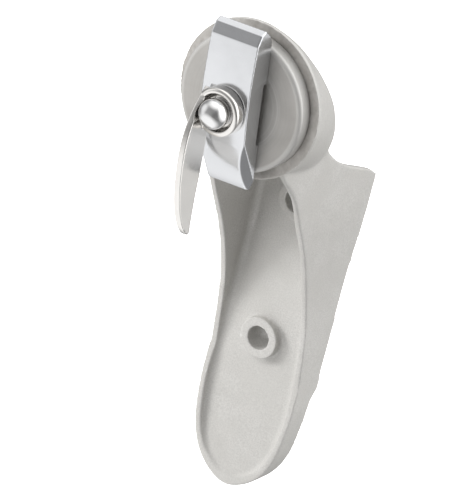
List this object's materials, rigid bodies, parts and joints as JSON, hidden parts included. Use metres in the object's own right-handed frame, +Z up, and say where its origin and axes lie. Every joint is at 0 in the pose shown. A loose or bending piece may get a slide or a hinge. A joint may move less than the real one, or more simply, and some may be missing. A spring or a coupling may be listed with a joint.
{
  "type": "wall-mounted hand opener",
  "caption": "Wall bracket cast with a trough, carrying a swivelling round head with a cutter bar, a drive spindle with feed wheel, a crank lever and a ball nut.",
  "frame": {"origin": "middle of the lower screw hole at the back face that meets the wall", "axes": "+Y into the wall, +Z up along the bracket, +X to the right as seen from the front"},
  "size_m": [0.075, 0.1266, 0.2607],
  "materials": {
    "casting": "bead-blasted sand casting, matt and slightly warm grey",
    "turned_steel": "turned face, satin, with faint concentric rings",
    "polished_bar": "polished, with softly rounded edges",
    "polished_lever": "polished bright plating",
    "mirror_nut": "mirror polished",
    "bronze": "sintered bearing bronze, oiled",
    "hard_pins": "ground hardened steel",
    "hard_wheel": "hardened steel, ground edge",
    "spring_steel": "blued spring steel",
    "nut_steel": "zinc plated",
    "black_screws": "black oxide"
  },
  "bodies": {
    "bracket": {"bracket_casting": "casting", "journal_bush": "bronze"},
    "turntable": {"face_disc": "turned_steel", "cutter_bar": "polished_bar", "bar_screws": "black_screws", "bar_dowels": "hard_pins", "swivel_stop_pin": "hard_pins", "wave_washer": "spring_steel", "tab_washer": "spring_steel", "jam_nut": "nut_steel", "spindle_bush_front": "bronze", "spindle_bush_rear": "bronze", "cutter_screw": "black_screws", "cutter_spacer": "bronze"},
    "spindle": {"drive_spindle": "hard_pins", "feed_wheel": "hard_wheel", "feed_wheel_key": "hard_pins", "spindle_thrust_washer": "bronze", "spindle_clip": "spring_steel", "lever_handle": "polished_lever", "nut_washer": "nut_steel", "dome_nut": "mirror_nut"},
    "cutter": {"cutter_wheel": "hard_wheel"}
  },
  "joints": [
    {"name": "head_swivel", "type": "hinge", "parent": "bracket", "child": "turntable", "pos_m": [0, -0.088, 0.1425], "axis": [0, 1, 0], "range_deg": [-36, 52]},
    {"name": "lever_turn", "type": "hinge", "parent": "turntable", "child": "spindle", "pos_m": [0, -0.11, 0.1425], "axis": [0, 1, 0], "continuous": true},
    {"name": "cutter_spin", "type": "hinge", "parent": "turntable", "child": "cutter", "pos_m": [0.00198, -0.09845, 0.12844], "axis": [0, 1, 0], "continuous": true}
  ]
}
